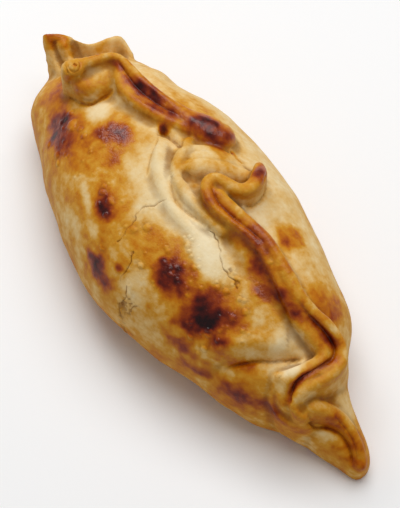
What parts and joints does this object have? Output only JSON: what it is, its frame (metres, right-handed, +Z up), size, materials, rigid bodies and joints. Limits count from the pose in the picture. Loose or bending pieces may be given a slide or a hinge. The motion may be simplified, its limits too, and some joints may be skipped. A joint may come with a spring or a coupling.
{
  "type": "empanada",
  "caption": "Whole baked empanada: a plump filled turnover with a flat underside and a pressed dough seam folded into ridges, a hook and a curled tip along its crown.",
  "frame": {"origin": "on the table plane, under the middle of the pastry's box", "axes": "+X along the length from the flared tail tab to the pinched tip, +Y across to the side the seam leans to, +Z up out of the flat underside"},
  "size_m": [0.1422, 0.0578, 0.044],
  "materials": {
    "crust": "baked wheat dough: pale cream where sheltered, golden to chestnut where browned, glazed and slightly blistered at the dark scorch marks"
  },
  "bodies": {
    "root": {"pastry": "crust"}
  },
  "joints": []
}
